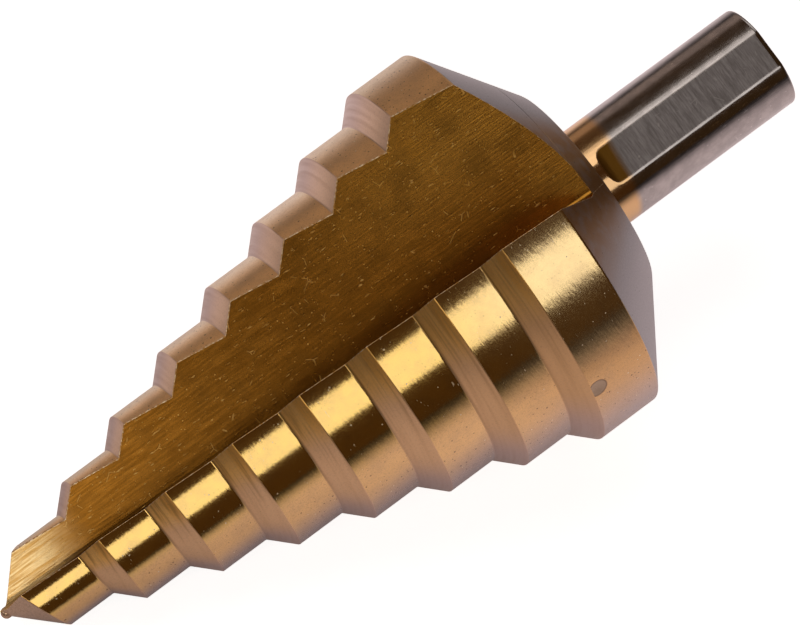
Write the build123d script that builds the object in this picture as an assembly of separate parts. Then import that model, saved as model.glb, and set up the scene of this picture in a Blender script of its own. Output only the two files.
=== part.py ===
from build123d import *
import math
import os

os.makedirs("parts", exist_ok=True)

# Step drill, 10 to 45 mm in eight steps, one piece of hard steel.
# It is built about its own axis: Z from the tip to the shank, X towards the first cutting edge.
# Angles around the axis count from that edge, against the cut, so that 90 degrees is along +Y.
# The last lines lay the finished tool down as it comes to rest.

# ---- steps ----
STEP_COUNT = 8
FIRST_STEP_D = 10.0
STEP_RISE_D = 5.0                 # growth in diameter from one step to the next
STEP_PITCH = 8.1                  # axial distance from one shoulder's corner to the next
FIRST_CORNER_Z = 5.25             # corner of the first step, a quarter turn behind its edge
SHOULDER_ANGLE = 45.0             # of each shoulder to the axis
LAST_LAND_LENGTH = 7.1            # from the last shoulder's corner to the back of its land

# ---- relief behind each cutting edge ----
RELIEF_LEAD = 35.0                # the shoulders stand off the axis this far ahead of the cutting edge
RELIEF_OFFSET_FIRST = 0.80        # how far the second step's cone stands off the axis
RELIEF_OFFSET_DROP = 0.10         # less for each larger step
HALF_SPLIT_LEAD = 35.0            # the two cutting halves meet this far ahead of the edge

# ---- drill point: one flank is ground round, the other flat ----
POINT_ANGLE = 118.0               # full angle of the round flank's cone
POINT_TILT = 15.6                 # lean of that cone, which gives the lip its clearance
POINT_LEAD = 70.0                 # it leans this far ahead of the cutting edge
POINT_APEX_Z = 0.20
FLAT_FLANK_LIP = 27.5             # slope of the flat flank along its lip
FLAT_FLANK_BACK = 45.3            # slope of the flat flank square to its lip
FLAT_FLANK_Z = 0.62               # where the flat flank meets the axis
NUB_R = 0.64                      # small round pip left at the very tip
NUB_LENGTH = 1.9

# ---- flutes ----
FLUTE_COUNT = 2
FLUTE_ANGLE = 80.0                # between the floor and the cutting face
FLUTE_FLOOR_TILT = 4.0            # of the floor, from square to the cutting edge's radius
FLUTE_ROOT_R = 0.8
FLUTE_ROOT_X = 0.25               # where the root line starts, level with the tip
FLUTE_ROOT_Y = -0.20
FLUTE_CLIMB = 11.3                # slope of the root line away from the axis
FLUTE_DRIFT = 1.25                # slope of the root line sideways

# ---- back cone and shank ----
BACK_FACE_D = 24.0
BACK_CONE_LENGTH = 7.35
BACK_CORNER_R = 0.4               # on the rear corner of the last land
SHANK_D = 12.0
TOTAL_LENGTH = 100.6
SHANK_END_BREAK = 0.5
FLAT_COUNT = 3
FLAT_DEPTH = 0.42
FLAT_START_Z = 79.3               # where each flat reaches its full depth
FLAT_RUNOUT_R = 1.6               # of the wheel that ground it
FLAT_TURN = -1.5                  # first flat, against the first cutting edge

NODE = "step_drill"
SAME = 0.01                       # two lengths closer than this are the same


def along(z):
    return Pos(0, 0, z)


def step_r(k):
    return (FIRST_STEP_D + k * STEP_RISE_D) / 2


def corner_z(k):
    return FIRST_CORNER_Z + k * STEP_PITCH


last_corner_z = corner_z(STEP_COUNT - 1)
stack_end_z = last_corner_z + LAST_LAND_LENGTH / 2    # the steps meet the turned rear here
land_end_z = last_corner_z + LAST_LAND_LENGTH
back_face_z = land_end_z + BACK_CONE_LENGTH
largest_r = step_r(STEP_COUNT - 1)
reach = 2 * TOTAL_LENGTH          # past everything, for cutters


# ---- a relieved stack of steps, right over one half turn behind a cutting edge ----
def round_flank():
    """Cone of the drill point, leaning ahead of the edge so that its flank falls away behind the lip."""
    height = stack_end_z
    mouth_r = height * math.tan(math.radians(POINT_ANGLE / 2))
    cone = Cone(0, mouth_r, height, align=(Align.CENTER, Align.CENTER, Align.MIN))
    return along(POINT_APEX_Z) * Rot(0, 0, -POINT_LEAD) * Rot(0, POINT_TILT, 0) * cone


def flat_flank():
    """Everything behind a flat flank, which slopes away from the tip along its lip and behind it."""
    lip = math.tan(math.radians(FLAT_FLANK_LIP))
    back = math.tan(math.radians(FLAT_FLANK_BACK))
    face = Plane(origin=(0, 0, FLAT_FLANK_Z), z_dir=(-lip, -back, 1))
    return face * Box(reach, reach, reach, align=(Align.CENTER, Align.CENTER, Align.MIN))


def shoulder_cone(k):
    """Cone of a step's shoulder, standing off the axis so that it falls away behind the edge."""
    offset = RELIEF_OFFSET_FIRST - (k - 1) * RELIEF_OFFSET_DROP
    ox = offset * math.cos(math.radians(RELIEF_LEAD))
    oy = -offset * math.sin(math.radians(RELIEF_LEAD))
    quarter = math.hypot(ox, step_r(k) - oy)
    slope = math.tan(math.radians(SHOULDER_ANGLE))
    apex_z = corner_z(k) - quarter / slope
    height = land_end_z - apex_z
    cone = Cone(0, height * slope, height, align=(Align.CENTER, Align.CENTER, Align.MIN))
    return Pos(ox, oy, apex_z) * cone


def land(k):
    return Cylinder(step_r(k), stack_end_z, align=(Align.CENTER, Align.CENTER, Align.MIN))


steps = land(1) & shoulder_cone(1)
for k in range(2, STEP_COUNT):
    steps += land(k) & shoulder_cone(k)

half_space = Rot(0, 0, -HALF_SPLIT_LEAD) * Box(
    reach, reach, reach,
    align=(Align.CENTER, Align.MIN, Align.CENTER),
)
first_half = (steps + (land(0) & round_flank())) & half_space
second_half = (steps + (land(0) & flat_flank())) & half_space
cutting_end = first_half + Rot(0, 0, 180) * second_half

# ---- back cone and shank, turned in one profile ----
with BuildPart() as rear:
    with BuildSketch(Plane.XZ) as profile:
        with BuildLine():
            end = SHANK_D / 2 - SHANK_END_BREAK
            Polyline(
                (0, stack_end_z),
                (largest_r, stack_end_z),
                (largest_r, land_end_z),
                (BACK_FACE_D / 2, back_face_z),
                (SHANK_D / 2, back_face_z),
                (SHANK_D / 2, TOTAL_LENGTH - SHANK_END_BREAK),
                (end, TOTAL_LENGTH),
                (0, TOTAL_LENGTH),
                close=True,
            )
        make_face()
        fillet(profile.vertices().group_by(Axis.X)[-1].sort_by(Axis.Y)[-1], BACK_CORNER_R)
    revolve(axis=Axis.Z)

body = cutting_end + rear.part


# ---- flutes: two straight V grooves that climb away from the axis ----
def flute_cutter():
    climb = math.tan(math.radians(FLUTE_CLIMB))
    drift = math.tan(math.radians(FLUTE_DRIFT))
    root = Plane(
        origin=(FLUTE_ROOT_X, FLUTE_ROOT_Y, 0),
        x_dir=(0, -1, drift),
        z_dir=(climb, drift, 1),
    )
    side = reach / 2
    floor_a = math.radians(FLUTE_FLOOR_TILT)
    face_a = math.radians(FLUTE_FLOOR_TILT + FLUTE_ANGLE)
    mid_a = (floor_a + face_a) / 2
    far = side * 1.5
    # sketch x runs to the heel; y must run outwards, along the climb
    sign = 1 if root.y_dir.X > 0 else -1
    wedge = Polygon(
        (0, 0),
        (side * math.cos(floor_a), sign * side * math.sin(floor_a)),
        (far * math.cos(mid_a), sign * far * math.sin(mid_a)),
        (side * math.cos(face_a), sign * side * math.sin(face_a)),
        align=None,
    )
    corner = wedge.vertices().sort_by_distance((0, 0, 0))[0]
    wedge = fillet(corner, FLUTE_ROOT_R)
    return extrude(root * wedge, amount=reach / 2, both=True)


cutter = flute_cutter()
for i in range(FLUTE_COUNT):
    body -= Rot(0, 0, i * 360 / FLUTE_COUNT) * cutter

# ---- pip at the tip ----
nub = along(NUB_R) * Sphere(NUB_R)
nub += along(NUB_R) * Cylinder(NUB_R, NUB_LENGTH - NUB_R, align=(Align.CENTER, Align.CENTER, Align.MIN))
body += nub

# ---- flats for a three-jaw chuck, each with the run-out of its wheel ----
flat_x = SHANK_D / 2 - FLAT_DEPTH
flat_end = Box(
    SHANK_D, SHANK_D, TOTAL_LENGTH,
    align=(Align.MIN, Align.CENTER, Align.MIN),
)
wheel = Pos(FLAT_RUNOUT_R, 0, 0) * Rot(90, 0, 0) * Cylinder(FLAT_RUNOUT_R, SHANK_D)
flat_cutter = Pos(flat_x, 0, FLAT_START_Z) * (flat_end + wheel)
for i in range(FLAT_COUNT):
    body -= Rot(0, 0, FLAT_TURN + i * 360 / FLAT_COUNT) * flat_cutter

# ---- laid down: it rests on both rear corners of its second half and on that half's first lip ----
corners = [v.center() for v in body.vertices()]
at_last = [p for p in corners if abs(math.hypot(p.X, p.Y) - largest_r) < SAME and p.Z < stack_end_z]
at_first = [p for p in corners if abs(math.hypot(p.X, p.Y) - step_r(0)) < SAME and p.Z < FIRST_CORNER_Z]
last_lip = min((p for p in at_last if p.X < 0), key=lambda p: p.Z)
last_heel = max((p for p in at_last if p.X < 0 < p.Y), key=lambda p: p.Z)
first_lip = min((p for p in at_first if p.X < 0), key=lambda p: p.Z)

up = (last_lip - first_lip).cross(last_heel - last_lip).normalized()
if up.X < 0:
    up = -up
axis_level = Vector(0, 0, 1) - up * up.Z
ground = Plane(origin=last_lip, x_dir=axis_level, z_dir=up)
lying = ground.location.inverse() * body
box = lying.bounding_box()
part = Pos(-(box.min.X + box.max.X) / 2, -(box.min.Y + box.max.Y) / 2, -box.min.Z) * lying
print("shank's rise, degrees", round(math.degrees(math.asin(up.Z)), 2))

solids = part.solids()
print("solids", len(solids), "valid", all(s.is_valid for s in solids))
print("volume mm3", round(sum(s.volume for s in solids), 1))
size = part.bounding_box().size
print("box mm", round(size.X, 2), round(size.Y, 2), round(size.Z, 2))

export_step(part, f"parts/{NODE}.step")
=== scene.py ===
import math

import bmesh
import bpy
import numpy as np
from mathutils import Matrix, Vector


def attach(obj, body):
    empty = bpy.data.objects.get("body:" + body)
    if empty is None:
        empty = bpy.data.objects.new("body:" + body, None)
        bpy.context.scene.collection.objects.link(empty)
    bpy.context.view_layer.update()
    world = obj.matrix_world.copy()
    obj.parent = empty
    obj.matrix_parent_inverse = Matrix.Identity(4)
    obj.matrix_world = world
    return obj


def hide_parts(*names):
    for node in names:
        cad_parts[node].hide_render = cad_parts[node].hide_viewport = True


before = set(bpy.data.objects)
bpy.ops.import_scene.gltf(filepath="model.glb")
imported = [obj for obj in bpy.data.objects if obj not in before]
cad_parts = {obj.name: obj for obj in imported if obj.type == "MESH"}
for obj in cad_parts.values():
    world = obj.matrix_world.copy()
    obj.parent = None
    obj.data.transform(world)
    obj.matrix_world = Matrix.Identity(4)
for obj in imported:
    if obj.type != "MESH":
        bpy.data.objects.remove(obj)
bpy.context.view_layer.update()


MM = 0.001

# The drill's own frame, in millimetres: Z from the tip to the shank, X towards the first cutting
# edge. Angles around the axis count from that edge, against the cut, so that 90 degrees is along
# +Y. The second half is the first one turned by 180 degrees, but for its flank at the point.

# ---- how it lies ----
SHANK_RISE = math.radians(14.662)             # of the axis above level
ROLL = math.radians(26.027)                   # of the first cutting edge, away from straight up
TIP_PLACE = np.array([-49.3477, 0.0, 3.8976])  # of the drill frame's origin, in the row frame

# ---- steps ----
LAST_STEP, REAR = 7, 8                        # the turned rear counts as one step more
FIRST_R, STEP_RISE = 5.0, 2.5
STEP_R = FIRST_R + STEP_RISE * np.arange(8)
LARGEST_R = FIRST_R + STEP_RISE * LAST_STEP
CORNER_Z = 5.25 + 8.1 * np.arange(8)          # of each shoulder's corner at 90 degrees
RELIEF_LEAD = math.radians(35)                # ahead of the edge, the shoulders' cones are off axis
RELIEF_OFFSET = np.concatenate([[0.0], 0.80 - 0.10 * np.arange(7)])
LAST_LAND_END = 69.05
BACK_FACE_R, BACK_FACE_Z = 12.0, 76.4

# ---- point ----
ROUND_FLANK_HALF_ANGLE = math.radians(59)
ROUND_FLANK_TILT = math.radians(15.6)
ROUND_FLANK_LEAD = math.radians(70)
ROUND_FLANK_Z = 0.20
FLAT_FLANK_LIP = math.radians(27.5)           # slope along its lip
FLAT_FLANK_BACK = math.radians(45.3)          # slope square to its lip
FLAT_FLANK_Z = 0.62
NUB_R, NUB_END = 0.64, 1.9

# ---- flutes ----
FLUTE_ROOT = np.array([0.25, -0.20, 0.0])     # where the root line starts, level with the tip
FLUTE_CLIMB = math.tan(math.radians(11.3))    # of the root line, away from the axis
FLUTE_DRIFT = math.tan(math.radians(1.25))    # of the root line, sideways
FLOOR_ANGLE, FACE_ANGLE = math.radians(4), math.radians(84)
ROOT_R = 0.8

# ---- shank ----
SHANK_R, SHANK_END = 6.0, 100.6
SHANK_END_R = 0.45
FLAT_X, FLAT_START = 5.58, 79.3               # distance from the axis, and where it is that deep
FLAT_RUNOUT_R = 1.6                           # of the wheel that ground it
FLAT_TURN = math.radians(-1.5)                # of the first flat, against the first cutting edge
FLAT_EDGE_BLEND = 0.07                        # how far a flat and the round melt into each other

# ---- mark of a hardness test, pressed into the largest land ----
TEST_MARK_TURN = math.radians(51.5)
TEST_MARK = (LARGEST_R * math.cos(TEST_MARK_TURN), LARGEST_R * math.sin(TEST_MARK_TURN), 62.6)
TEST_MARK_R, TEST_MARK_DEPTH = 1.15, 0.16

# ---- small roundings ----
CORNER_SOFT = 0.07                            # of each shoulder's outer corner
ROOT_SOFT = 0.12                              # of the inner corner in front of each shoulder
EDGE_SOFT = 0.06                              # of the cutting edges and heels
BACK_CORNER_SOFT = 0.21                       # between the last land and the back cone
BACK_FACE_SOFT = 0.3                          # between the back cone and the back face
GUARD = 0.04                                  # a thin row beside a rounding keeps its shading apart
LAND_SHARE, FLUTE_SHARE = 0.02, 0.1           # the most that a rounding takes of a narrow place
NEAR_AXIS = 0.01                              # the least radius that anything is divided by
SLANT = math.sqrt(0.5)                        # outward share of a length along a shoulder

# ---- how fine the mesh is ----
POINT_RADII = (0.0, 0.2, 0.4, 0.6, 0.75, 0.85, 0.95, 1.1, 1.3, 1.6,
               2.0, 2.5, 3.0, 3.5, 4.0, 4.5, 4.8)
BACK_FACE_RADII = (11.6, 9.0, 7.0, 5.0, 0.0)
CURVE = (0.0, 0.25, 0.5, 0.75, 1.0)           # rows of an outer rounding
SHORT_CURVE = (0.0, 0.35, 0.7, 1.0)           # rows of an inner one, and of the back face's
SHOULDER_ROWS, LAND_ROWS, LAST_LAND_ROWS = 6, 4, 25
OUTER_COLUMNS = 92                            # across a land
FLOOR_COLUMNS, ROOT_COLUMNS, FACE_COLUMNS = 22, 14, 9
EDGE_COLUMNS = 3                              # inside the rounding of a lip or heel
SHANK_END_ROWS, SHANK_END_RING = 7, 0.4       # of its rounding; a ring's share of its radius
NUB_ROWS, NUB_COLUMN = 13, 7.5                # rows of its half ball; degrees from one column on
ROOT_ROUNDS, HALVINGS = 30, 50                # of the searches for the root, and for lip and heel
INTO_LAND = math.radians(62)                  # from the root's angle to well inside the land
NO_WIDTH = 1e-6                               # a flute narrower than this is closed
TOLERANCE = 1e-9
MERGE, DEGENERATE = 2e-7, 1e-7                # in metres, when the mesh is cleaned
SHARP_ANGLE = math.radians(38)

# ---- finishes, in the order of the mesh's materials ----
LAND_GOLD, SHOULDER_GOLD, FLUTE_GOLD, EDGE_GOLD, REAR_GREY, SHANK_STEEL = range(6)
BY_ROW = -1                                   # in a column whose faces take their row's finish


def drill_axes():
    """The drill's X, Y and Z in the row frame: its axis rises by SHANK_RISE, and the first edge
    leans by ROLL from the upright."""
    rise = np.array([math.cos(SHANK_RISE), 0.0, math.sin(SHANK_RISE)])
    upright = np.array([-math.sin(SHANK_RISE), 0.0, math.cos(SHANK_RISE)])
    sideways = np.array([0.0, -1.0, 0.0])
    edge = math.cos(ROLL) * upright + math.sin(ROLL) * sideways
    return np.array([edge, np.cross(rise, edge), rise])


DRILL_AXES = drill_axes()


# ---------------------------------------------------------------- shape

def round_flank(r, th):
    """Height of the round flank: a cone of ROUND_FLANK_HALF_ANGLE whose axis leans ahead of the
    edge. h solves (h az + q)^2 = c^2 (r^2 + h^2), with a the cone's axis and q = x ax + y ay."""
    ax = math.sin(ROUND_FLANK_TILT) * math.cos(-ROUND_FLANK_LEAD)
    ay = math.sin(ROUND_FLANK_TILT) * math.sin(-ROUND_FLANK_LEAD)
    az = math.cos(ROUND_FLANK_TILT)
    c = math.cos(ROUND_FLANK_HALF_ANGLE)
    q = r * (np.cos(th) * ax + np.sin(th) * ay)
    k = az * az - c * c
    return ROUND_FLANK_Z + (-az * q + np.sqrt((az * q) ** 2 - k * (q * q - (c * r) ** 2))) / k


def flat_flank(r, th):
    """Height of the flat flank: a plane that slopes along its lip and behind it."""
    lip = math.tan(FLAT_FLANK_LIP) * np.cos(th)
    return FLAT_FLANK_Z + r * (lip + math.tan(FLAT_FLANK_BACK) * np.sin(th))


def front(k, r, th, flank):
    """Height of step k's front at radius r and angle th. A shoulder is a 45 degree cone that stands
    off the axis by RELIEF_OFFSET, so the height is the distance from its own axis past its apex.
    k = 0 is the flank at the point, and k = REAR is the rear, which is turned and has no relief."""
    kk = np.clip(k, 1, LAST_STEP)
    ox = RELIEF_OFFSET[kk] * math.cos(RELIEF_LEAD)
    oy = -RELIEF_OFFSET[kk] * math.sin(RELIEF_LEAD)
    apex = CORNER_Z[kk] - np.hypot(ox, STEP_R[kk] - oy)
    shoulder = apex + np.hypot(r * np.cos(th) - ox, r * np.sin(th) - oy)
    return np.where(k == 0, flank(r, th), np.where(k == REAR, 0.0, shoulder))


def step_rows(row, k):
    """Rows of step k: rounded inner corner, shoulder, rounded outer corner and land."""
    big = STEP_R[k]
    if k > 0:
        small = STEP_R[k - 1]
        for t in SHORT_CURVE:
            out = t * t * ROOT_SOFT * SLANT
            finish = SHOULDER_GOLD if t > 0 else LAND_GOLD
            row(finish, small + out, k, small, out - (1 - t) ** 2 * ROOT_SOFT)
        inner, outer = small + ROOT_SOFT * SLANT + GUARD, big - CORNER_SOFT * SLANT - GUARD
        for r in np.linspace(inner, outer, SHOULDER_ROWS):
            row(SHOULDER_GOLD, r, k, r, 0.0)
    for t in CURVE:
        inset = (1 - t) ** 2 * CORNER_SOFT * SLANT
        row(SHOULDER_GOLD if t < 1 else LAND_GOLD, big - inset, k, big, t * t * CORNER_SOFT - inset)
    if k == LAST_STEP:
        count, land_end = LAST_LAND_ROWS, LAST_LAND_END - BACK_CORNER_SOFT - GUARD
    else:
        count, land_end = LAND_ROWS, -ROOT_SOFT - GUARD
    for m in np.linspace(0, 1, count):
        row(LAND_GOLD, big, k, big, CORNER_SOFT + GUARD, k + 1, big, land_end, m)


def rear_rows(row):
    """Rows of the turned rear: the last land's rounded corner, the back cone and the back face."""
    run, drop = BACK_FACE_Z - LAST_LAND_END, LARGEST_R - BACK_FACE_R
    length = math.hypot(drop, run)
    cone_r, cone_z = -drop / length, run / length
    for t in CURVE:
        r = LARGEST_R + t * t * BACK_CORNER_SOFT * cone_r
        z = LAST_LAND_END - (1 - t) ** 2 * BACK_CORNER_SOFT + t * t * BACK_CORNER_SOFT * cone_z
        row(LAND_GOLD if t < 0.6 else REAR_GREY, r, REAR, 0.0, z)
    stations = np.concatenate([
        [BACK_CORNER_SOFT + GUARD],
        np.linspace(0.6, 7.2, 12),
        np.linspace(7.4, 9.9, 24),            # the flutes run out of the cone here
        np.linspace(10.2, length - 0.4, 8),
    ])
    for d in stations:
        row(REAR_GREY, LARGEST_R + d * cone_r, REAR, 0.0, LAST_LAND_END + d * cone_z)
    for t in SHORT_CURVE:
        r = BACK_FACE_R - (1 - t) ** 2 * BACK_FACE_SOFT * cone_r - t * t * BACK_FACE_SOFT
        z = BACK_FACE_Z - (1 - t) ** 2 * BACK_FACE_SOFT * cone_z
        row(REAR_GREY, r, REAR, 0.0, z)
    for r in BACK_FACE_RADII:
        row(REAR_GREY, r, REAR, 0.0, BACK_FACE_Z)


def meridian():
    """The rows of the outside, from the tip to the back face: each row's finish, its radius and its
    height as a function of the angle. The height mixes two fronts,
    z = (1 - m)(front a + da) + m (front b + db). Corners are rounded by quadratic curves,
    r and z = (1 - t)^2 A + 2 t (1 - t) C + t^2 B."""
    rows = []

    def row(finish, r, ka, ra, da, kb=None, rb=None, db=0.0, m=0.0):
        kb, rb = (ka, ra) if kb is None else (kb, rb)
        rows.append((finish, r, ka, ra, da, kb, rb, db, m))

    for r in POINT_RADII:
        row(SHOULDER_GOLD, r, 0, r, 0.0)
    for k in range(LAST_STEP + 1):
        step_rows(row, k)
    rear_rows(row)
    finishes, r, ka, ra, da, kb, rb, db, m = (np.array(c)[:, None] for c in zip(*rows))

    def height(th, flank):
        return (1 - m) * (front(ka, ra, th, flank) + da) + m * (front(kb, rb, th, flank) + db)

    return finishes, r, height


# The flute's own frame: c along its root line, a towards the heel and b outwards, square to it.
flute_c = np.array([FLUTE_CLIMB, FLUTE_DRIFT, 1.0])
flute_c /= np.linalg.norm(flute_c)
flute_a = np.array([0.0, -1.0, FLUTE_DRIFT])
flute_a /= np.linalg.norm(flute_a)
flute_b = np.cross(flute_c, flute_a)
MIDDLE_ANGLE = (FLOOR_ANGLE + FACE_ANGLE) / 2
HALF_WEDGE = (FACE_ANGLE - FLOOR_ANGLE) / 2
ROOT_CENTRE = ROOT_R / math.sin(HALF_WEDGE)
ROOT_A, ROOT_B = ROOT_CENTRE * math.cos(MIDDLE_ANGLE), ROOT_CENTRE * math.sin(MIDDLE_ANGLE)
TANGENT = ROOT_R / math.tan(HALF_WEDGE)
HALF_ARC = ROOT_R * (math.pi / 2 - HALF_WEDGE)


def in_flute(points):
    """a, b and c of points in the flute's frame."""
    rel = points - FLUTE_ROOT
    return rel @ flute_a, rel @ flute_b, rel @ flute_c


def to_walls(a, b):
    """Distances to the flute's floor and to its cutting face, and lengths along both from where the
    rounded root ends."""
    d_floor = b * math.cos(FLOOR_ANGLE) - a * math.sin(FLOOR_ANGLE)
    d_face = a * math.sin(FACE_ANGLE) - b * math.cos(FACE_ANGLE)
    along_floor = a * math.cos(FLOOR_ANGLE) + b * math.sin(FLOOR_ANGLE) - TANGENT
    along_face = a * math.cos(FACE_ANGLE) + b * math.sin(FACE_ANGLE) - TANGENT
    return d_floor, d_face, along_floor, along_face


def flute_depth(points):
    """How far inside the flute's cut a point is: ROOT_R less its distance to the wedge that is
    drawn in by ROOT_R, so that it is 0 on the floor, the rounded root and the cutting face."""
    a, b, _ = in_flute(points)
    d_floor, d_face, along_floor, along_face = to_walls(a, b)
    corner = np.hypot(a - ROOT_A, b - ROOT_B)
    flat = np.maximum(ROOT_R - d_floor, ROOT_R - d_face)
    return ROOT_R - np.where((along_floor < 0) & (along_face < 0), corner, flat)


def section_s(a, b):
    """Length along the flute's section from the middle of its rounded root: plus on the floor's
    side, minus on the cutting face's."""
    d_floor, d_face, along_floor, along_face = to_walls(a, b)
    turn = np.arctan2(b - ROOT_B, a - ROOT_A) - (MIDDLE_ANGLE - math.pi)
    turn = (turn + math.pi) % (2 * math.pi) - math.pi
    on_floor = (along_floor > 0) & (d_floor <= d_face)
    on_face = (along_face > 0) & (d_face < d_floor)
    past_root = np.where(on_face, -HALF_ARC - along_face, turn * ROOT_R)
    return np.where(on_floor, HALF_ARC + along_floor, past_root)


def section_point(s, c):
    """The point of the flute's surface at length s along its section and c along its root line."""
    turn = np.clip(s, -HALF_ARC, HALF_ARC) / ROOT_R + MIDDLE_ANGLE - math.pi
    a = ROOT_A + ROOT_R * np.cos(turn)
    b = ROOT_B + ROOT_R * np.sin(turn)
    past_floor, past_face = np.maximum(s - HALF_ARC, 0), np.maximum(-s - HALF_ARC, 0)
    a = a + past_floor * math.cos(FLOOR_ANGLE) + past_face * math.cos(FACE_ANGLE)
    b = b + past_floor * math.sin(FLOOR_ANGLE) + past_face * math.sin(FACE_ANGLE)
    return FLUTE_ROOT + a[..., None] * flute_a + b[..., None] * flute_b + c[..., None] * flute_c


def cylindrical(r, th, z):
    return np.stack([r * np.cos(th), r * np.sin(th), z + 0 * th], axis=-1)


def turned(points, half):
    """Half a turn about the drill's axis, half times."""
    sign = 1 - 2 * (half % 2)
    return points * np.array([sign, sign, 1.0])


def root_angles(r, height, flank):
    """The angle at which each row of the outside is deepest in the flute. From the root, a line
    runs straight out between the floor and the face, level with the row, and meets its radius."""
    across = math.cos(MIDDLE_ANGLE) * flute_a + math.sin(MIDDLE_ANGLE) * flute_b
    way = across - across[2] / flute_c[2] * flute_c
    w = way[0] ** 2 + way[1] ** 2
    th = np.full_like(r, -RELIEF_LEAD)
    for _ in range(ROOT_ROUNDS):
        deep = FLUTE_ROOT + (ROOT_CENTRE - ROOT_R) * across
        deep = deep + ((height(th, flank) - deep[2]) / flute_c[2])[..., None] * flute_c
        p = deep[..., 0] * way[0] + deep[..., 1] * way[1]
        left = p * p - w * (deep[..., 0] ** 2 + deep[..., 1] ** 2 - r * r)
        t = np.maximum((-p + np.sqrt(np.maximum(left, 0))) / w, 0)[..., None]
        deep = deep + t * way
        th = np.arctan2(deep[..., 1], deep[..., 0])
    return th


def cut_angles(r, height, flank):
    """Where each row of the outside meets the cutting face in front of it and the floor behind it,
    by halving intervals. A row that no flute crosses is closed at the root's angle."""
    def meet(solid, cut, half):
        def in_cut(th):
            return flute_depth(turned(cylindrical(r, th, height(th, flank)), half)) > 0

        lo, hi = solid, cut
        for _ in range(HALVINGS):
            mid = (lo + hi) / 2
            free = in_cut(mid)
            lo, hi = np.where(free, lo, mid), np.where(free, mid, hi)
        return np.where(in_cut(cut), lo, cut)

    th_root = root_angles(r, height, flank)
    middle = th_root + INTO_LAND
    return meet(middle, th_root, 0), meet(middle, th_root + math.pi, 1)


def bend(a, corner, b, count):
    """Points between a and b of the quadratic curve whose control point is corner."""
    t = (np.arange(1, count + 1) / (count + 1))[None, :, None]
    return (1 - t) ** 2 * a[:, None] + 2 * t * (1 - t) * corner[:, None] + t * t * b[:, None]


def spread(start, stop, count, ends=False):
    """Even values from start on in each row, up to stop, which is among them only with ends."""
    t = np.linspace(0, 1, count, endpoint=ends)
    return start[:, None] + (stop - start)[:, None] * t[None, :]


def pressed(grid):
    """The round mark of a hardness test: points at a distance d of less than TEST_MARK_R from its
    middle move towards the axis by TEST_MARK_DEPTH (1 - (d / TEST_MARK_R)^2)^2."""
    share = np.sum((grid - np.array(TEST_MARK)) ** 2, axis=-1) / TEST_MARK_R ** 2
    press = TEST_MARK_DEPTH * np.clip(1 - share, 0, 1) ** 2
    r = np.maximum(np.hypot(grid[..., 0], grid[..., 1]), NEAR_AXIS)
    inwards = (1 - press / r)[..., None] * np.array([1.0, 1.0, 0.0]) + np.array([0.0, 0.0, 1.0])
    return grid * inwards


def outside(r, height, flank):
    """One half's outside in columns from lip to heel, and the sharp lip and heel themselves."""
    def at(th):
        return cylindrical(r, th, height(th, flank))

    lip, heel = cut_angles(r, height, flank)
    span = heel - lip
    soft = np.minimum(EDGE_SOFT / np.maximum(r, NEAR_AXIS), LAND_SHARE * span)
    guard = np.minimum(GUARD / np.maximum(r, NEAR_AXIS), LAND_SHARE * span)
    t = np.linspace(0, 1, OUTER_COLUMNS)[None, :]
    across = lip + soft + guard + (span - 2 * soft - 2 * guard) * t
    th = np.concatenate([lip + soft, across, heel - soft], axis=1)
    return at(th), at(lip)[:, 0], at(heel)[:, 0]


def flute_columns(heel, lip):
    """The flute's surface in columns from heel to lip: its floor, its rounded root and its cutting
    face. Where it has no width, all columns meet in a point."""
    (ah, bh, ch), (al, bl, cl) = in_flute(heel), in_flute(lip)
    sh, sl = section_s(ah, bh), section_s(al, bl)
    width = np.maximum(sh - sl, 0)
    soft, guard = (np.minimum(most, FLUTE_SHARE * width) for most in (EDGE_SOFT, GUARD))
    first, last = sh - soft - guard, sl + soft + guard
    floor_end, face_start = np.clip(HALF_ARC, last, first), np.clip(-HALF_ARC, last, first)
    s = np.concatenate([
        (sh - soft)[:, None],
        spread(first, floor_end, FLOOR_COLUMNS),
        spread(floor_end, face_start, ROOT_COLUMNS),
        spread(face_start, last, FACE_COLUMNS, True),
        (sl + soft)[:, None],
    ], axis=1)
    share = (s - sl[:, None]) / np.maximum(width[:, None], TOLERANCE)
    share = np.where(width[:, None] > TOLERANCE, share, 0.5)
    flute = section_point(s, cl[:, None] + (ch - cl)[:, None] * share)
    closed = width < NO_WIDTH
    flute[closed] = ((heel + lip) / 2)[closed][:, None]
    return flute


def drill_head():
    """The cutting end as one grid: rows run from the tip to the back face, and columns go round.
    Each half of a row has the flute's section from heel to lip, then the outside from lip to
    heel."""
    finishes, r, height = meridian()
    halves = [outside(r, height, flank) for flank in (round_flank, flat_flank)]
    columns, of_column = [], []
    for half in (0, 1):
        outer, lip, _ = halves[half]
        outer_before, _, heel_before = halves[1 - half]
        heel = turned(heel_before, 1)
        flute = flute_columns(heel, lip)
        heel_edge = bend(turned(outer_before[:, -1], 1), heel, flute[:, 0], EDGE_COLUMNS)
        lip_edge = bend(flute[:, -1], lip, outer[:, 0], EDGE_COLUMNS)
        columns.append(turned(np.concatenate([heel_edge, flute, lip_edge, outer], axis=1), half))
        of_column += [EDGE_GOLD] * (EDGE_COLUMNS + 1) + [FLUTE_GOLD] * (flute.shape[1] - 1)
        of_column += [EDGE_GOLD] * EDGE_COLUMNS + [BY_ROW] * outer.shape[1]
    grid = pressed(np.concatenate(columns, axis=1))
    of_column = np.array(of_column)[None, :]
    return grid, np.where(of_column == BY_ROW, finishes[:-1], of_column)


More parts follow.
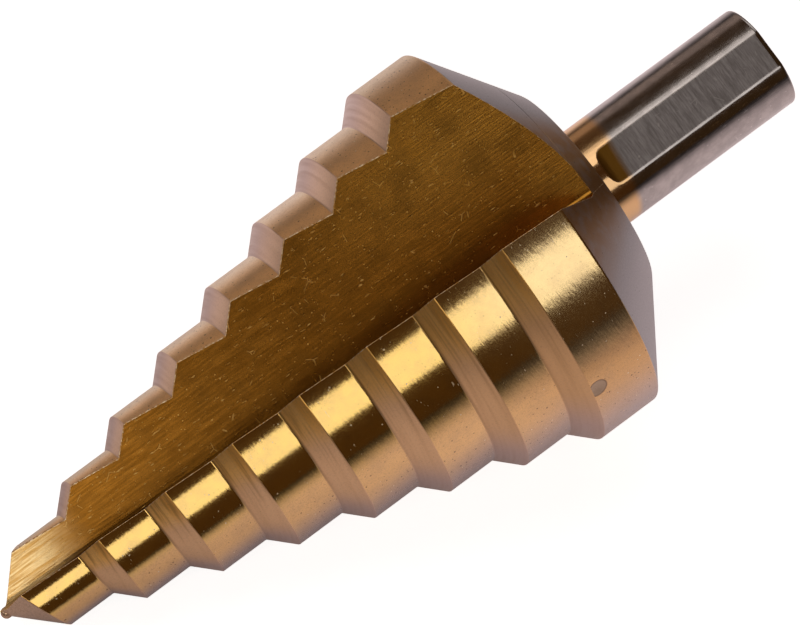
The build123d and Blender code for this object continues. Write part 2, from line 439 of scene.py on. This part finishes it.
def shank():
    """The shank as rows along its axis: radius = the smaller of SHANK_R and the flat's x over the
    cosine of the angle from its middle, melted together over FLAT_EDGE_BLEND. In front of
    FLAT_START the flat's x rises along the grinding wheel's circle. The columns are closest at the
    flats' edges."""
    stops, counts = (-60, -28, -15, 15, 28, 60), (12, 16, 12, 16, 12)
    third = np.concatenate([
        np.linspace(a, b, count, endpoint=False) for a, b, count in zip(stops, stops[1:], counts)
    ])
    off = np.radians(np.tile(third, 3))[None, :]
    th = off + FLAT_TURN + np.repeat(np.radians([0, 120, 240]), len(third))[None, :]
    end_start = SHANK_END - SHANK_END_R
    z = np.concatenate([
        [75.9, 76.5, 77.5],                   # the first row is inside the head
        np.linspace(78.0, 79.4, 16),          # the flats start here
        np.linspace(80, end_start - 0.05, 12),
    ])
    before = np.clip(FLAT_START - z, 0, FLAT_RUNOUT_R)
    x = FLAT_X + FLAT_RUNOUT_R - np.sqrt(FLAT_RUNOUT_R ** 2 - before ** 2)
    turn = np.radians(np.linspace(0, 90, SHANK_END_ROWS))
    inset = np.concatenate([np.zeros(len(z)), SHANK_END_R * (1 - np.cos(turn))])[:, None]
    z = np.concatenate([z, end_start + SHANK_END_R * np.sin(turn)])[:, None]
    x = np.concatenate([x, np.full(len(turn), FLAT_X)])[:, None]
    flat = x / np.cos(off)
    gap = np.maximum(FLAT_EDGE_BLEND - np.abs(flat - SHANK_R), 0)
    r = np.minimum(flat, SHANK_R) - gap ** 2 / (4 * FLAT_EDGE_BLEND) - inset
    grid = cylindrical(r, th, z)
    on_axis = np.array([0.0, 0.0, 1.0])
    end_ring = grid[-1:] * np.array([SHANK_END_RING, SHANK_END_RING, 1.0])
    grid = np.concatenate([grid[:1] * on_axis, grid, end_ring, grid[-1:] * on_axis])
    return grid, np.full((len(grid) - 1, grid.shape[1]), SHANK_STEEL)


def nub():
    """The pip at the very tip: a half ball of NUB_R, then a short round stem into the point."""
    up = np.radians(np.linspace(-90, 0, NUB_ROWS))
    r = np.concatenate([NUB_R * np.cos(up), [NUB_R, 0.0]])[:, None]
    z = np.concatenate([NUB_R + NUB_R * np.sin(up), [NUB_END, NUB_END]])[:, None]
    th = np.radians(np.arange(0, 360, NUB_COLUMN))[None, :]
    grid = cylindrical(r, th, z)
    return grid, np.full((len(grid) - 1, grid.shape[1]), SHOULDER_GOLD)


def sewn(grids):
    """One mesh out of closed grids: each grid's columns join up, and each quad keeps its finish."""
    points, quads, finishes, start = [], [], [], 0
    for grid, of_quad in grids:
        rows, cols = grid.shape[:2]
        index = start + np.arange(rows * cols).reshape(rows, cols)
        right = np.roll(index, -1, axis=1)
        corners = [index[:-1], index[1:], right[1:], right[:-1]]
        quads.append(np.stack(corners, axis=-1).reshape(-1, 4))
        points.append(grid.reshape(-1, 3))
        finishes.append(of_quad.reshape(-1))
        start += rows * cols
    return np.concatenate(points), np.concatenate(quads), np.concatenate(finishes)


def drill_mesh():
    """The whole drill as one mesh in the row frame, with points that coincide merged."""
    points, quads, finishes = sewn([drill_head(), shank(), nub()])
    placed = (TIP_PLACE + points @ DRILL_AXES) * MM
    mesh = bpy.data.meshes.new("step_drill_body")
    mesh.from_pydata(placed.tolist(), [], quads.tolist())
    mesh.polygons.foreach_set("material_index", finishes.astype(np.int32))
    mesh.update()
    bm = bmesh.new()
    bm.from_mesh(mesh)
    bmesh.ops.remove_doubles(bm, verts=bm.verts, dist=MERGE)
    bmesh.ops.dissolve_degenerate(bm, edges=bm.edges, dist=DEGENERATE)
    bmesh.ops.recalc_face_normals(bm, faces=bm.faces)
    for face in bm.faces:
        face.smooth = True
    bm.to_mesh(mesh)
    bm.free()
    mesh.set_sharp_from_angle(angle=SHARP_ANGLE)
    return mesh


# ---------------------------------------------------------------- materials

SEAM_LEAD = 20.0    # the jump from 180 degrees back to 0 lies this far ahead of the cutting edges


def behind(degrees):
    """Degrees behind a cutting edge, as Shader.turn counts them."""
    return degrees + SEAM_LEAD


class Shader:
    """A material's node tree, with short names for what the finishes here need."""

    def __init__(self, name):
        self.material = bpy.data.materials.new(name)
        self.material.use_nodes = True
        self.tree = self.material.node_tree
        self.shader = self.tree.nodes["Principled BSDF"]

    def add(self, kind, inputs=None, **settings):
        node = self.tree.nodes.new(kind)
        for key, value in settings.items():
            setattr(node, key, value)
        for key, value in (inputs or {}).items():
            self.put(value, node.inputs[key])
        return node

    def put(self, value, socket):
        if isinstance(value, bpy.types.NodeSocket):
            self.tree.links.new(value, socket)
        else:
            socket.default_value = value

    def set(self, **inputs):
        for key, value in inputs.items():
            self.put(value, self.shader.inputs[key.replace("_", " ")])

    # ---- sums ----
    def math(self, operation, a, b=0.0, clamp=False):
        node = self.add("ShaderNodeMath", operation=operation, use_clamp=clamp)
        self.put(a, node.inputs[0])
        self.put(b, node.inputs[1])
        return node.outputs[0]

    def times(self, a, b):
        return self.math("MULTIPLY", a, b)

    def plus(self, a, b, clamp=False):
        return self.math("ADD", a, b, clamp)

    def minus(self, a, b):
        return self.math("SUBTRACT", a, b)

    def larger(self, a, b):
        return self.math("MAXIMUM", a, b)

    def half_turns(self, degrees):
        """Degrees counted from 0 to 180, over and over."""
        return self.math("FLOORED_MODULO", degrees, 180.0)

    # ---- masks ----
    def ramp(self, value, low, high, to_low=0.0, to_high=1.0, smooth=True):
        node = self.add("ShaderNodeMapRange", {
            "Value": value, "From Min": low, "From Max": high, "To Min": to_low, "To Max": to_high,
        }, interpolation_type="SMOOTHSTEP" if smooth else "LINEAR")
        return node.outputs["Result"]

    def fade(self, value, low, high, smooth=True):
        """1 below low, and down to 0 at high."""
        return self.ramp(value, low, high, 1.0, 0.0, smooth)

    def zone(self, turn, start, end, to_low=0.0, to_high=1.0):
        """A ramp between two angles in degrees behind the cutting edge."""
        return self.ramp(turn, behind(start), behind(end), to_low, to_high)

    # ---- colours ----
    def mix(self, factor, a, b):
        node = self.add("ShaderNodeMix", data_type="RGBA")
        for name, value in (("Factor", factor), ("A", a), ("B", b)):
            self.put(value, node.inputs[name])
        return node.outputs["Result"]

    def coats(self, colour, *coats):
        """A colour with others laid over it in turn, each given as a mask and a colour."""
        for mask, coat in coats:
            colour = self.mix(mask, colour, coat)
        return colour

    # ---- places ----
    def split(self, vector):
        return self.add("ShaderNodeSeparateXYZ", {"Vector": vector}).outputs

    def plane(self, x, y):
        return self.add("ShaderNodeCombineXYZ", {"X": x, "Y": y}).outputs[0]

    def drill_space(self):
        """Object coordinates turned into the drill's own frame, in millimetres."""
        where = self.add("ShaderNodeTexCoord").outputs["Object"]
        node = self.add("ShaderNodeMapping", {
            "Vector": where, "Location": TIP_PLACE * MM, "Scale": (MM, MM, MM),
            "Rotation": Matrix(DRILL_AXES.tolist()).transposed().to_euler("XYZ"),
        }, vector_type="TEXTURE")
        return node.outputs["Vector"]

    def radius(self, x, y):
        return self.math("SQRT", self.plus(self.times(x, x), self.times(y, y)))

    def turn(self, x, y):
        """Degrees behind the last cutting edge, and SEAM_LEAD more, so that the seam, where they
        jump back to 0, falls inside the flutes."""
        angle = self.times(self.math("ARCTAN2", y, x), 180 / math.pi)
        return self.half_turns(self.plus(angle, SEAM_LEAD))

    def stretched(self, vector, scale):
        return self.add("ShaderNodeMapping", {"Vector": vector, "Scale": scale}).outputs["Vector"]

    # ---- patterns ----
    def noise(self, vector, scale=1.0, detail=2.0, rough=0.5):
        node = self.add("ShaderNodeTexNoise", {
            "Vector": vector, "Scale": scale, "Detail": detail, "Roughness": rough,
        })
        return node.outputs["Fac"]

    def specks(self, vector, scale, size, share):
        """1 in small round specks: points in a share of the cells of a scattered grid."""
        cells = self.add("ShaderNodeTexVoronoi", {"Vector": vector, "Scale": scale})
        drawn = self.add("ShaderNodeSeparateColor", {"Color": cells.outputs["Color"]}).outputs[0]
        kept = self.math("LESS_THAN", drawn, share)
        return self.times(self.fade(cells.outputs["Distance"], size * 0.6, size), kept)

    def scratches(self, vector, scale, width, share):
        """1 along thin straight scratches: pieces of the walls between the cells of a scattered
        grid."""
        cells = self.add("ShaderNodeTexVoronoi", {
            "Vector": vector, "Scale": scale,
        }, feature="DISTANCE_TO_EDGE")
        kept = self.ramp(self.noise(vector, scale * 2.2, 2), share, share + 0.03)
        return self.times(self.fade(cells.outputs["Distance"], width * 0.5, width), kept)

    def bump(self, height, strength, distance, normal=None):
        """Distance in metres, for a height of 1."""
        node = self.add("ShaderNodeBump", {
            "Height": height, "Strength": strength, "Distance": distance,
        })
        if normal is not None:
            self.put(normal, node.inputs["Normal"])
        return node.outputs["Normal"]


def land_gold():
    """Ground and coated lands: nearly a mirror, with fine marks round the drill, worn specks and
    pits, and the round mark of a hardness test on the largest land. Duller towards the heels.
    Behind each cutting edge the gold turns to a painted tan and then a painted grey, a painted
    reflection of how the lands mirror at those angles. Towards the rear the gold is partly
    painted paler for brighter highlights, and the mark's dark ring is painted shade."""
    # towards the rear the gold is partly painted paler, so that the rear lands' highlights come out
    # brighter and creamier
    clean_front, rear_gold_painted_paler = (0.95, 0.64, 0.20, 1), (0.97, 0.73, 0.36, 1)
    # painted reflection: the tan that the gold turns to behind the cutting edge stands in for how
    # the lands mirror the floor at that angle
    painted_tan_front, painted_tan_rear = (0.80, 0.51, 0.23, 1), (0.66, 0.40, 0.175, 1)
    # the first colour here is a painted grey: a painted reflection standing in for the lands'
    # greyer, darker mirroring at grazing angles
    dull, pale, heel = (0.52, 0.43, 0.41, 1), (0.86, 0.70, 0.46, 1), (0.93, 0.59, 0.27, 1)
    stain, grit = (0.50, 0.34, 0.20, 1), (0.36, 0.22, 0.12, 1)
    pit, bared = (0.08, 0.05, 0.04, 1), (1.0, 0.86, 0.62, 1)
    # the second colour here is painted shade, a dark ring round the edge of the pressed mark
    mark_floor, painted_rim_shade = (0.44, 0.34, 0.25, 1), (0.16, 0.10, 0.06, 1)

    m = Shader("land_gold")
    here = m.drill_space()
    x, y, z = m.split(here)
    r, turn = m.radius(x, y), m.turn(x, y)
    arc = m.times(m.times(turn, math.pi / 180), r)
    rear = m.ramp(z, 48.0, 66.0)
    in_painted_tan, in_grazing_zone = m.zone(turn, 32, 44), m.zone(turn, 50, 80)

    rings = m.noise(m.plane(m.times(arc, 0.55), m.times(z, 3.4)), 1.0, 3, 0.6)
    grain = m.noise(here, 6.0, 3, 0.65)
    patch = m.noise(here, 0.45, 3, 0.6)
    pits = m.larger(m.specks(here, 1.2, 0.15, 0.4), m.specks(here, 2.3, 0.2, 0.3))
    scuffs = m.noise(m.plane(m.times(arc, 0.9), m.times(z, 3.0)), 1.0, 3, 0.7)
    scuffs = m.times(m.ramp(scuffs, 0.64, 0.69), m.ramp(patch, 0.50, 0.56))
    chips = m.times(scuffs, m.zone(turn, 34, 42, 0.8, 0.0))
    chips = m.larger(m.specks(here, 1.15, 0.11, 0.34), chips)

    from_mark = [m.minus(a, b) for a, b in zip((x, y, z), TEST_MARK)]
    sx, sy, sz = (m.times(d, d) for d in from_mark)
    from_mark = m.math("SQRT", m.plus(m.plus(sx, sy), sz))
    in_mark = m.fade(from_mark, 1.02, 1.16)
    # painted shade: a dark ring along the edge of the pressed mark
    rim = m.times(m.ramp(from_mark, 0.92, 1.05), m.fade(from_mark, 1.08, 1.22))

    colour = m.coats(
        m.mix(rear, clean_front, rear_gold_painted_paler),
        (in_painted_tan, m.mix(rear, painted_tan_front, painted_tan_rear)),
        (in_grazing_zone, dull),
        (m.zone(turn, 84, 98), pale),
        (m.zone(turn, 103, 118), heel),
        (m.times(m.ramp(patch, 0.35, 0.75), 0.3), stain),
        (m.times(m.ramp(grain, 0.45, 0.7), m.times(in_painted_tan, 0.28)), grit),
        (m.times(pits, m.zone(turn, 34, 60, 0.15, 0.8)), pit),
        (chips, bared),
        (m.times(in_mark, 0.85), mark_floor),
        (m.times(rim, 0.6), painted_rim_shade),
    )
    from_lip = m.minus(arc, m.times(r, math.radians(behind(0))))
    rough = m.plus(m.ramp(grain, 0.35, 0.75, 0.09, 0.15), m.times(rear, 0.06))
    rough = m.plus(rough, m.times(in_grazing_zone, 0.20))
    rough = m.plus(rough, m.ramp(from_lip, 0.1, 0.4, m.times(rear, 0.15), 0.0))
    rough = m.plus(rough, m.plus(m.times(in_mark, 0.3), m.times(chips, 0.4)), True)
    ground = m.bump(rings, m.ramp(rear, 0.0, 1.0, 0.16, 0.30), 0.00010)
    ground = m.bump(grain, 0.06, 0.00003, ground)
    m.set(Base_Color=colour, Metallic=1.0, Roughness=rough, Normal=ground)
    return m.material


def shoulder_gold():
    """Form-ground shoulders and flanks: duller than the lands, with long streaks round the drill
    and an orange-gold band on the outer part of each shoulder behind each cutting edge, and
    painted shade along each shoulder's inner corner. The point itself is greyer."""
    front_gold, rear_gold = (0.78, 0.50, 0.27, 1), (0.62, 0.38, 0.18, 1)
    near, far, heel = (1.0, 0.60, 0.19, 1), (0.56, 0.40, 0.33, 1), (0.86, 0.60, 0.40, 1)
    # the first colour here lies along the outer part of each shoulder, just behind the cutting edge
    outer_band, streaked = (0.92, 0.50, 0.12, 1), (0.26, 0.14, 0.05, 1)
    # painted shade: a dark line along each shoulder's inner corner
    inner_corner_shade = (0.14, 0.07, 0.025, 1)
    grit, pit = (0.34, 0.22, 0.14, 1), (0.10, 0.06, 0.04, 1)
    point = (0.66, 0.46, 0.31, 1), (0.52, 0.35, 0.23, 1)

    m = Shader("shoulder_gold")
    here = m.drill_space()
    x, y, z = m.split(here)
    r, turn = m.radius(x, y), m.turn(x, y)
    share = m.math("FRACT", m.times(m.minus(r, FIRST_R), 1 / STEP_RISE))    # 0 at the inner edge
    streak = m.noise(m.plane(z, m.times(turn, 0.008)), 3.0, 2, 0.5)
    grain = m.noise(here, 5.0, 3, 0.65)

    colour = m.coats(
        m.mix(m.ramp(z, 40.0, 62.0), front_gold, rear_gold),
        (m.zone(turn, 10, 26, 1.0, 0.0), near),
        (m.zone(turn, 50, 75), far),
        (m.zone(turn, 100, 124), heel),
        (m.times(m.ramp(share, 0.58, 0.72), m.zone(turn, 4, 26, 0.85, 0.0)), outer_band),
        (m.times(m.ramp(streak, 0.46, 0.72), m.zone(turn, 8, 46, 0.5, 0.05)), streaked),
        # painted shade along each shoulder's inner corner, strongest just behind the cutting edge
        (m.times(m.fade(share, 0.02, 0.12), m.zone(turn, 0, 60, 0.7, 0.1)), inner_corner_shade),
        (m.times(m.ramp(grain, 0.45, 0.7), 0.2), grit),
        (m.times(m.specks(here, 1.6, 0.08, 0.35), m.zone(turn, 70, 95, 0.7, 0.1)), pit),
        (m.fade(r, FIRST_R - 0.03, FIRST_R), m.mix(m.ramp(grain, 0.4, 0.65), *point)),
    )
    ground = m.bump(m.plus(streak, m.times(grain, 0.5)), 0.12, 0.00004)
    rough = m.ramp(streak, 0.3, 0.7, 0.28, 0.4)
    m.set(Base_Color=colour, Metallic=1.0, Roughness=rough, Normal=ground)
    return m.material


def flute_gold():
    """Flutes ground lengthwise: dark saturated gold, full of fine streaks, brighter and coarser
    near the tip, with scattered scratches. The brightness near the tip is partly a painted
    reflection, and the floor is painted darker towards its rounded root as shade."""
    dark_front, dark_rear = (0.19, 0.076, 0.008, 1), (0.28, 0.108, 0.011, 1)
    bright_front, bright_rear = (0.31, 0.132, 0.017, 1), (0.44, 0.178, 0.021, 1)
    # the tip colours are painted far brighter: a painted reflection that, with the tip lamp, stands
    # in for the light the floor near the tip mirrors
    dark_tip_painted_light, bright_tip_painted_light = (0.64, 0.37, 0.11, 1), (1.0, 0.78, 0.40, 1)
    open_gold, worn = (0.72, 0.36, 0.055, 1), (0.15, 0.065, 0.010, 1)
    # the first colour here is painted shade, darkening the flute towards its rounded root
    painted_root_shade, glint_and_scratch_gold, pit = (0.12, 0.05, 0.007, 1), (0.85, 0.56, 0.20, 1), (0.08, 0.035, 0.01, 1)

    m = Shader("flute_gold")
    here = m.drill_space()
    x, y, z = m.split(here)
    root_line = m.minus(-FLUTE_ROOT[1], m.times(z, FLUTE_DRIFT))
    from_root = m.math("ABSOLUTE", m.plus(m.times(y, m.math("SIGN", x)), root_line))
    plane = m.plane(m.times(from_root, 3.6), m.times(z, 0.22))
    lines = m.noise(m.stretched(plane, (1.25, 1.0, 1.0)), 1.0, 2, 0.6)
    dashes = m.noise(m.stretched(plane, (1.0, 3.2, 1.0)), 1.1, 2, 0.6)
    nicks = m.larger(m.specks(here, 1.7, 0.12, 0.25), m.specks(here, 3.1, 0.14, 0.12))
    scratches = m.times(m.scratches(here, 0.33, 0.010, 0.61), 0.5)
    cloud = m.noise(here, 0.28, 3, 0.6)
    tip = m.fade(m.plus(z, m.times(lines, 4.0)), 7.0, 15.0)
    rear = m.ramp(z, 30.0, 62.0)

    open_side = m.times(m.ramp(from_root, 3.0, 14.0), m.ramp(z, 40.0, 68.0))
    open_side = m.larger(open_side, m.ramp(z, 66.0, 72.0, 0.0, 0.55))
    # painted shade: the floor darkens towards the flute's rounded root, less near the tip and
    # towards the rear end
    root = m.times(m.fade(from_root, 0.9, 5.0), m.ramp(tip, 0.0, 1.0, 0.45, 0.0))
    # painted highlight: pale glints along the grinding dashes; the real nicks and scratches take
    # the same pale gold
    glints_and_scratches = m.times(m.ramp(dashes, 0.66, 0.72), m.ramp(cloud, 0.35, 0.6, 0.2, 0.7))
    glints_and_scratches = m.larger(glints_and_scratches, m.times(m.larger(nicks, scratches), 0.8))
    # towards the tip the colours turn to the painted brighter ones, a painted reflection
    dark = m.mix(tip, m.mix(rear, dark_front, dark_rear), dark_tip_painted_light)
    bright = m.mix(tip, m.mix(rear, bright_front, bright_rear), bright_tip_painted_light)
    colour = m.coats(
        m.mix(m.ramp(lines, 0.36, 0.70), dark, bright),
        (m.times(open_side, 0.8), open_gold),
        (m.times(m.ramp(cloud, 0.42, 0.70), m.ramp(tip, 0.0, 1.0, 0.35, 0.1)), worn),
        (m.times(root, m.ramp(z, 58.0, 68.0, 1.0, 0.2)), painted_root_shade),
        (glints_and_scratches, glint_and_scratch_gold),
        (m.times(m.specks(here, 1.3, 0.08, 0.4), 0.7), pit),
    )
    rough = m.plus(m.ramp(tip, 0.0, 1.0, 0.27, 0.34), m.times(glints_and_scratches, 0.3), True)
    height = m.plus(lines, m.times(dashes, 0.4))
    ground = m.bump(height, m.ramp(tip, 0.0, 1.0, 0.2, 0.35), 0.00010)
    m.set(Base_Color=colour, Metallic=1.0, Roughness=rough, Normal=ground)
    return m.material


def edge_gold():
    """Cutting edges and heels, where the coating is rubbed pale and nicked."""
    coated, rubbed = (0.50, 0.26, 0.08, 1), (1.0, 0.82, 0.58, 1)

    m = Shader("edge_gold")
    nicks = m.noise(m.drill_space(), 4.0, 3, 0.7)
    colour = m.mix(m.ramp(nicks, 0.42, 0.62), coated, rubbed)
    m.set(Base_Color=colour, Metallic=1.0, Roughness=0.42, Normal=m.bump(nicks, 0.4, 0.00005))
    return m.material


def rear_grey():
    """The turned rear: dull grey, with brown-gold left around the ends of the flutes."""
    grey_dark, grey_pale = (0.38, 0.36, 0.37, 1), (0.52, 0.50, 0.51, 1)
    brown, speck = (0.42, 0.22, 0.08, 1), (0.10, 0.08, 0.07, 1)
    brown_middle = -6.0    # degrees behind the cutting edge
    seam_shift = 40.0      # takes the seam away from the brown

    m = Shader("rear_grey")
    here = m.drill_space()
    x, y, _ = m.split(here)
    turn = m.turn(x, y)
    grain = m.noise(here, 5.0, 3, 0.65)
    cloud = m.noise(here, 0.6, 2)
    shifted = m.half_turns(m.plus(turn, seam_shift))
    away = m.math("ABSOLUTE", m.minus(shifted, behind(brown_middle) + seam_shift))
    in_brown = m.times(m.fade(away, 14.0, 38.0), m.ramp(cloud, 0.25, 0.6, 0.65, 1.0))
    colour = m.coats(
        m.mix(m.ramp(grain, 0.35, 0.7), grey_dark, grey_pale),
        (in_brown, brown),
        (m.times(m.specks(here, 1.4, 0.12, 0.45), 0.8), speck),
    )
    rough = m.ramp(grain, 0.3, 0.7, 0.36, 0.5)
    m.set(Base_Color=colour, Metallic=1.0, Roughness=rough, Normal=m.bump(grain, 0.25, 0.00005))
    return m.material


def shank_steel():
    """Bare ground steel; the coating reaches a little way onto it, painted darker on the flats as
    their shade. The flats are ground across.
    """
    round_dark, round_pale = (0.38, 0.35, 0.335, 1), (0.47, 0.43, 0.41, 1)
    flat_dark, flat_pale = (0.31, 0.288, 0.288, 1), (0.48, 0.455, 0.455, 1)
    flat_cloud = (0.30, 0.28, 0.275, 1)
    scratched, knocked = (0.75, 0.71, 0.68, 1), (0.8, 0.77, 0.75, 1)
    # on the flats the coating is the same gold painted darker, a painted shade
    gold_round, gold_flat_painted_shade = (0.72, 0.46, 0.23, 1), (0.25, 0.12, 0.018, 1)

    m = Shader("shank_steel")
    here = m.drill_space()
    x, y, z = m.split(here)
    r, turn = m.radius(x, y), m.turn(x, y)
    on_flat = m.times(m.fade(r, 5.93, 5.97, False), m.fade(z, 100.0, 100.1))
    wobble = m.times(m.noise(here, 0.15, 2), 1.4)
    bare = m.ramp(m.plus(m.plus(z, wobble), m.times(y, 0.12)), 80.6, 81.7)
    across = m.noise(m.stretched(here, (0.40, 0.40, 5.0)), 1.0, 4, 0.8)
    lengthwise = m.noise(m.stretched(here, (3.0, 3.0, 0.5)), 1.0, 3, 0.6)
    cloud = m.noise(here, 0.7, 3, 0.6)
    worn = m.times(m.scratches(here, 0.4, 0.012, 0.60), 0.5)
    worn = m.larger(m.specks(here, 1.2, 0.11, 0.4), worn)
    knocks = m.ramp(m.noise(m.stretched(here, (2.6, 2.6, 1.0)), 1.0, 3, 0.7), 0.60, 0.66)
    knocks = m.times(knocks, m.times(m.zone(turn, 22, 26), m.zone(turn, 36, 42, 0.8, 0.0)))

    round_steel = m.mix(m.ramp(cloud, 0.35, 0.7), round_dark, round_pale)
    flat_steel = m.mix(m.ramp(across, 0.35, 0.68), flat_dark, flat_pale)
    flat_steel = m.mix(m.times(m.ramp(cloud, 0.35, 0.65), 0.35), flat_steel, flat_cloud)
    steel = m.coats(
        round_steel,
        (on_flat, flat_steel),
        (m.times(worn, 0.7), scratched),
        (m.times(knocks, m.ramp(z, 82.0, 86.0)), knocked),
    )
    # on the flats the coating takes its painted darker shade
    colour = m.mix(bare, m.mix(on_flat, gold_round, gold_flat_painted_shade), steel)
    round_rough = m.plus(m.ramp(lengthwise, 0.3, 0.7, 0.11, 0.16), m.zone(turn, 90, 135, 0.0, 0.10))
    rough = m.mix(on_flat, round_rough, m.ramp(across, 0.3, 0.7, 0.38, 0.5))
    height = m.mix(on_flat, m.times(lengthwise, 0.3), across)
    m.set(Base_Color=colour, Metallic=1.0, Roughness=rough, Normal=m.bump(height, 0.35, 0.00005))
    return m.material


# ---------------------------------------------------------------- the drill

mesh = drill_mesh()
drill = bpy.data.objects.new("drill", mesh)
bpy.context.scene.collection.objects.link(drill)
for make in (land_gold, shoulder_gold, flute_gold, edge_gold, rear_grey, shank_steel):
    mesh.materials.append(make())
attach(drill, "root")
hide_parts("step_drill")

# ---------------------------------------------------------------- floor, lights and camera

scene = bpy.context.scene

FLOOR_HALF = 2.0
FLOOR_WHITE, FLOOR_DARK = (0.8, 0.8, 0.8, 1), (0.02, 0.02, 0.02, 1)
FLOOR_SEEN = 0.82                             # its own white, for the camera
FLOOR_IN_METAL = (0.66, 0.53, 0.55, 1)        # its own light, as the metal mirrors it
POOL_MIDDLE, POOL_REACH = (0.03, 0.008, 0), (0.08, 0.112, 1)
POOL_FALL, ROOM_LIGHT = 3.0, 0.03             # how steeply the pool fades, and to what
CONTACT_REACH = 0.05                          # of the shade where the drill comes near the floor
WORLD_COLOUR = (0.053, 0.027, 0.010, 1)


def floor():
    """Pale floor. Its own white is added for the camera and for what the metal mirrors; in the
    metal it is a pool of light around the drill that fades into a darker room."""
    mesh = bpy.data.meshes.new("floor")
    corners = [(-1, -1), (1, -1), (1, 1), (-1, 1)]
    mesh.from_pydata([(FLOOR_HALF * x, FLOOR_HALF * y, 0) for x, y in corners], [], [(0, 1, 2, 3)])
    plane = bpy.data.objects.new("floor", mesh)
    scene.collection.objects.link(plane)
    m = Shader("floor_white")
    here = m.add("ShaderNodeTexCoord").outputs["Object"]
    in_pool = m.add("ShaderNodeMapping", {
        "Vector": here, "Location": POOL_MIDDLE, "Scale": POOL_REACH,
    }, vector_type="TEXTURE").outputs["Vector"]
    far = m.add("ShaderNodeVectorMath", {"Vector": in_pool}, operation="LENGTH").outputs["Value"]
    pool = m.math("DIVIDE", 1.0, m.plus(1.0, m.math("POWER", far, POOL_FALL)))
    shade = m.add("ShaderNodeAmbientOcclusion", {"Distance": CONTACT_REACH}, samples=8)
    pool = m.plus(m.times(pool, 1 - ROOM_LIGHT), ROOM_LIGHT)
    pool = m.times(pool, shade.outputs["AO"])
    ray = m.add("ShaderNodeLightPath").outputs
    seen = m.times(ray["Is Camera Ray"], FLOOR_SEEN)
    mirrored = m.times(m.plus(ray["Is Glossy Ray"], ray["Is Transmission Ray"], True), pool)
    away = m.times(ray["Is Glossy Ray"], m.minus(1.0, pool))
    m.set(Base_Color=m.mix(away, FLOOR_WHITE, FLOOR_DARK), Roughness=1.0, Specular_IOR_Level=0.0,
          Emission_Color=m.mix(ray["Is Camera Ray"], FLOOR_IN_METAL, (1, 1, 1, 1)),
          Emission_Strength=m.plus(seen, mirrored))
    mesh.materials.append(m.material)


def softbox(name, direction, distance, size, brightness, color, aim=(0, 0, 0.02)):
    """A soft light in the given direction from its aim, its brightness that of its face."""
    light = bpy.data.lights.new(name, "AREA")
    light.shape = "RECTANGLE"
    light.size, light.size_y = size
    light.energy = brightness * math.pi * size[0] * size[1]
    light.color = color
    box = bpy.data.objects.new(name, light)
    away = Vector(direction).normalized()
    box.location = away * distance + Vector(aim)
    up = away.cross(Vector((1, 0, 0))).normalized()
    side = up.cross(away).normalized()
    box.rotation_euler = Matrix((side, up, away)).transposed().to_euler()
    scene.collection.objects.link(box)


floor()

studio = bpy.data.worlds.new("studio")
scene.world = studio
studio.use_nodes = True
studio.node_tree.nodes["Background"].inputs["Color"].default_value = WORLD_COLOUR
studio.node_tree.nodes["Background"].inputs["Strength"].default_value = 1.0

WHITE, WARM_WHITE = (1.0, 0.98, 0.97), (1.0, 0.96, 0.93)
WARM, PINK = (1.0, 0.95, 0.90), (1.0, 0.80, 0.72)
AT_THE_TIP = (-0.108, -0.002, 0.007)
softbox("front_softbox", (0.0, -0.777, 0.629), 0.8, (0.6, 0.37), 1.12, WHITE)
softbox("top_softbox", (-0.08, 0.22, 0.97), 0.8, (0.6, 0.48), 1.35, WARM_WHITE)
softbox("tip_softbox", (-0.437, -0.540, 0.717), 0.22, (0.12, 0.12), 2.05, WARM, AT_THE_TIP)
softbox("back_fill", (0.0, 0.977, 0.21), 0.9, (1.6, 0.36), 0.32, PINK)
softbox("back_right_softbox", (0.70, 0.56, 0.45), 0.9, (0.55, 0.45), 1.0, WHITE)
softbox("back_left_softbox", (-0.80, 0.42, 0.42), 0.9, (0.55, 0.45), 1.0, WHITE)

CAMERA_PLACE = Vector((-0.22288801, -0.26486165, 0.52108754))
CAMERA_RIGHT = Vector((0.80918745, -0.5852463, 0.05198494))
CAMERA_UP = Vector((0.45898967, 0.68488714, 0.5659135))
LENS, SENSOR_WIDTH = 261.16, 36               # in millimetres
camera_turn = Matrix((CAMERA_RIGHT, CAMERA_UP, CAMERA_RIGHT.cross(CAMERA_UP))).transposed()
camera = bpy.data.objects.new("camera", bpy.data.cameras.new("camera"))
scene.collection.objects.link(camera)
camera.matrix_world = Matrix.Translation(CAMERA_PLACE) @ camera_turn.to_4x4()
camera.data.sensor_width = SENSOR_WIDTH
camera.data.lens = LENS
camera.data.clip_start, camera.data.clip_end = 0.05, 20
scene.camera = camera

scene.view_settings.view_transform = "Standard"
